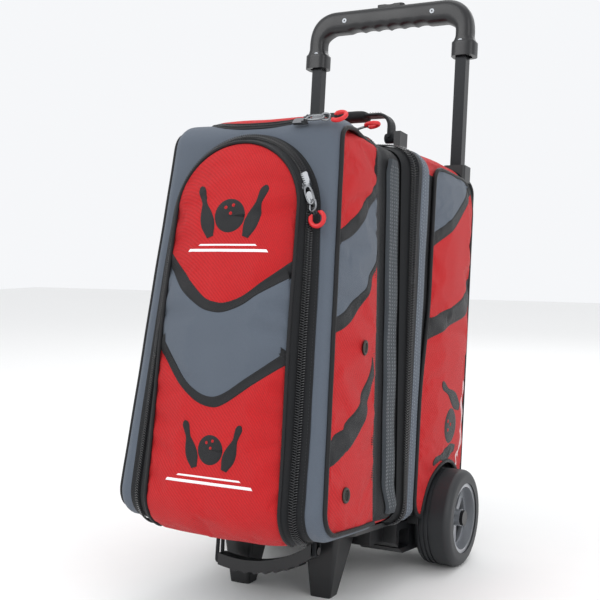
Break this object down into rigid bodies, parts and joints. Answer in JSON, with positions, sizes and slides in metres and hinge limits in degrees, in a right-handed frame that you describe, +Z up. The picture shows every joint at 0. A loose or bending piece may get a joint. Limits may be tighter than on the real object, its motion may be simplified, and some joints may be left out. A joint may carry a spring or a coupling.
{
  "type": "bowling ball bag",
  "caption": "Upright wheeled bowling bag with stacked ball bays, a shoe compartment, zipped pockets, a telescoping pull handle, front feet and large wheels.",
  "frame": {"origin": "on the ground, under the middle of the whole bag", "axes": "+Z up, +X to the bag's right, -Y is the pocket side and +Y the trolley handle side"},
  "size_m": [0.342, 0.5286, 0.7816],
  "materials": {
    "black_plastic": "satin moulded",
    "red_fabric": "coarse woven polyester",
    "slate_fabric": "fine woven polyester",
    "black_fabric": "woven webbing and mesh",
    "board": "stiffener board covered with cloth",
    "foam": "dense foam",
    "coil_zip": "glossy nylon coil on woven tape",
    "black_tube": "black anodised",
    "steel": "zinc plated",
    "nickel": "polished nickel",
    "eyelet": "dark burnished",
    "tyre": "cast urethane",
    "rim": "silver painted",
    "spring": "spring wire",
    "pull_grip": "soft moulded"
  },
  "bodies": {
    "bag_base": {"base_frame": "black_plastic", "front_foot_left": "black_plastic", "front_foot_right": "black_plastic", "wheel_bracket_left": "black_plastic", "wheel_bracket_right": "black_plastic", "axle_rod": "steel", "base_screws": "steel", "rear_side_left": "red_fabric", "rear_side_right": "red_fabric", "rear_top": "red_fabric", "rear_bottom": "black_fabric", "back_board": "black_fabric", "rear_band": "slate_fabric", "ball_zip_chain": "coil_zip", "outer_tubes": "black_tube", "tube_bezels": "black_plastic", "tube_foot": "black_plastic", "ball_cups": "foam", "ball_shelf": "board", "carry_anchors": "black_plastic"},
    "ball_door": {"mid_frame": "black_fabric", "divider_board": "board", "storm_flaps": "slate_fabric", "shoe_zip_chain": "coil_zip"},
    "shoe_door": {"front_side_left": "red_fabric", "front_side_right": "red_fabric", "front_top": "slate_fabric", "front_bottom": "red_fabric", "front_face": "slate_fabric", "pocket_liner": "black_fabric", "pocket_zip_chain": "coil_zip", "vent_eyelets": "eyelet"},
    "pocket_flap": {"pocket_panel": "red_fabric"},
    "top_pocket_flap": {"top_flap": "red_fabric"},
    "middle_stage": {"middle_tubes": "black_tube"},
    "inner_stage": {"inner_tubes": "black_tube", "lock_plugs": "black_plastic", "grip_front_shell": "black_plastic", "grip_back_shell": "black_plastic", "grip_screws": "steel", "button_spring": "spring"},
    "release": {"release_button": "black_plastic", "push_rods": "steel"},
    "wheel_left": {"tyre_left": "tyre", "rim_left": "rim", "hub_cap_left": "black_plastic"},
    "wheel_right": {"tyre_right": "tyre", "rim_right": "rim", "hub_cap_right": "black_plastic"},
    "carry_loop": {"carry_handle": "black_fabric"},
    "grab_loop": {"grab_handle": "black_plastic", "grab_straps": "black_fabric"},
    "pocket_slider_body": {"pocket_slider": "nickel"},
    "pocket_pull_body": {"pocket_pull": "pull_grip"},
    "top_slider_body": {"top_slider": "nickel"},
    "top_pull_body": {"top_pull": "pull_grip"},
    "shoe_slider_body": {"shoe_slider": "nickel"},
    "shoe_pull_body": {"shoe_pull": "pull_grip"},
    "ball_slider_body": {"ball_slider": "nickel"},
    "ball_pull_body": {"ball_pull": "pull_grip"}
  },
  "joints": [
    {"name": "ball_door_hinge", "type": "hinge", "parent": "bag_base", "child": "ball_door", "pos_m": [-0.139, 0.00595, 0.31328], "axis": [0, -0.1149, -0.9934], "range_deg": [0, 100]},
    {"name": "shoe_door_hinge", "type": "hinge", "parent": "ball_door", "child": "shoe_door", "pos_m": [-0.1295, -0.08323, 0.32561], "axis": [-0.0456, -0.1148, -0.9923], "range_deg": [0, 100]},
    {"name": "pocket_flap_hinge", "type": "hinge", "parent": "shoe_door", "child": "pocket_flap", "pos_m": [0, -0.24477, 0.12312], "axis": [1, 0, 0], "range_deg": [0, 80]},
    {"name": "top_flap_hinge", "type": "hinge", "parent": "shoe_door", "child": "top_pocket_flap", "pos_m": [0, -0.06964, 0.56051], "axis": [-1, 0, 0], "range_deg": [0, 100]},
    {"name": "trolley_middle_stage", "type": "slide", "parent": "bag_base", "child": "middle_stage", "axis": [0, 0.1149, 0.9934], "range_m": [0, 0.12]},
    {"name": "trolley_inner_stage", "type": "slide", "parent": "middle_stage", "child": "inner_stage", "axis": [0, 0.1149, 0.9934], "range_m": [-0.155, 0.145]},
    {"name": "release_press", "type": "slide", "parent": "inner_stage", "child": "release", "axis": [0, -0.1149, -0.9934], "range_m": [0, 0.003], "stiffness_N_per_m": 1500, "springref_m": -0.003, "deforming": ["button_spring"]},
    {"name": "wheel_spin_left", "type": "hinge", "parent": "bag_base", "child": "wheel_left", "pos_m": [-0.146, 0.10791, 0.0635], "axis": [1, 0, 0], "continuous": true},
    {"name": "wheel_spin_right", "type": "hinge", "parent": "bag_base", "child": "wheel_right", "pos_m": [0.146, 0.10791, 0.0635], "axis": [1, 0, 0], "continuous": true},
    {"name": "carry_handle_swing", "type": "hinge", "parent": "bag_base", "child": "carry_loop", "pos_m": [0, 0.06517, 0.56414], "axis": [1, 0, 0], "range_deg": [-45, 3]},
    {"name": "grab_handle_swing", "type": "hinge", "parent": "bag_base", "child": "grab_loop", "pos_m": [0, -0.1146, 0.08059], "axis": [1, 0, 0], "range_deg": [-75, 8]},
    {"name": "pocket_slider_travel", "type": "hinge", "parent": "shoe_door", "child": "pocket_slider_body", "pos_m": [0, -0.17866, 0.46176], "axis": [0, -0.9786, 0.2058], "range_deg": [-15, 125]},
    {"name": "pocket_pull_swing", "type": "hinge", "parent": "pocket_slider_body", "child": "pocket_pull_body", "pos_m": [0.08422, -0.17793, 0.49103], "axis": [-0.9063, -0.087, -0.4136], "range_deg": [0, 100]},
    {"name": "top_slider_travel", "type": "slide", "parent": "shoe_door", "child": "top_slider_body", "axis": [-1, 0, 0], "range_m": [0, 0.12]},
    {"name": "top_pull_swing", "type": "hinge", "parent": "top_slider_body", "child": "top_pull_body", "pos_m": [0.0695, -0.14989, 0.56908], "axis": [0, -0.7837, -0.6211], "range_deg": [0, 100]},
    {"name": "shoe_slider_travel", "type": "slide", "parent": "ball_door", "child": "shoe_slider_body", "axis": [-1, 0, 0], "range_m": [0, 0.13]},
    {"name": "shoe_pull_swing", "type": "hinge", "parent": "shoe_slider_body", "child": "shoe_pull_body", "pos_m": [0.0655, -0.052, 0.56068], "axis": [0, -0.9934, 0.1149], "range_deg": [0, 80]},
    {"name": "ball_slider_travel", "type": "slide", "parent": "bag_base", "child": "ball_slider_body", "axis": [1, 0, 0], "range_m": [0, 0.06]},
    {"name": "ball_pull_swing", "type": "hinge", "parent": "ball_slider_body", "child": "ball_pull_body", "pos_m": [-0.0205, 0.03984, 0.5714], "axis": [0, -0.9934, 0.1149], "range_deg": [0, 100]}
  ]
}
